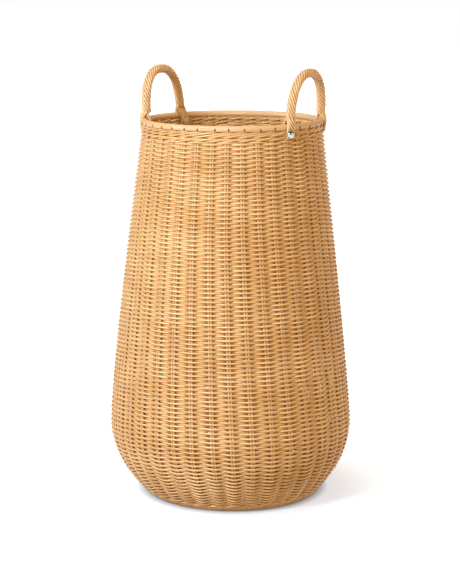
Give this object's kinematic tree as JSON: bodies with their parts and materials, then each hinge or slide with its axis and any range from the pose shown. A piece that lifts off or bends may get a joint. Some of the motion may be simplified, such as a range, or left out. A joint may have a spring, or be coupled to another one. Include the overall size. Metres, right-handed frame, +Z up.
{
  "type": "laundry basket",
  "caption": "Tall pear-shaped laundry basket of woven rattan with an open mouth, a pole rim and stiff twisted-cane side handles riveted through the band below the rim.",
  "frame": {"origin": "centre of the foot, on the floor", "axes": "+Z up along the basket's axis, handles at +X and -X"},
  "size_m": [0.4018, 0.4004, 0.7026],
  "materials": {
    "woven_cane": "round rattan cane, satin, honey brown",
    "stake_cane": "round rattan cane, satin, honey brown",
    "rim_pole": "smooth peeled rattan pole with a satin varnish",
    "twisted_cane": "twisted round rattan cane, satin varnish",
    "rivet_steel": "polished nickel-plated steel"
  },
  "bodies": {
    "root": {"base_weave": "woven_cane", "foot_wale": "woven_cane", "bowl_weave": "woven_cane", "side_weave": "woven_cane", "stake_01": "stake_cane", "stake_02": "stake_cane", "stake_03": "stake_cane", "stake_04": "stake_cane", "stake_05": "stake_cane", "stake_06": "stake_cane", "stake_07": "stake_cane", "stake_08": "stake_cane", "stake_09": "stake_cane", "stake_10": "stake_cane", "stake_11": "stake_cane", "stake_12": "stake_cane", "stake_13": "stake_cane", "stake_14": "stake_cane", "stake_15": "stake_cane", "stake_16": "stake_cane", "stake_17": "stake_cane", "stake_18": "stake_cane", "stake_19": "stake_cane", "stake_20": "stake_cane", "stake_21": "stake_cane", "stake_22": "stake_cane", "stake_23": "stake_cane", "stake_24": "stake_cane", "stake_25": "stake_cane", "stake_26": "stake_cane", "stake_27": "stake_cane", "stake_28": "stake_cane", "stake_29": "stake_cane", "stake_30": "stake_cane", "stake_31": "stake_cane", "stake_32": "stake_cane", "stake_33": "stake_cane", "stake_34": "stake_cane", "stake_35": "stake_cane", "stake_36": "stake_cane", "stake_37": "stake_cane", "stake_38": "stake_cane", "top_wale": "woven_cane", "rim_hoop": "rim_pole", "right_handle_core": "twisted_cane", "right_handle_wrap": "twisted_cane", "left_handle_core": "twisted_cane", "left_handle_wrap": "twisted_cane", "right_front_rivet": "rivet_steel", "right_front_washer": "rivet_steel", "left_back_rivet": "rivet_steel", "left_back_washer": "rivet_steel"}
  },
  "joints": []
}
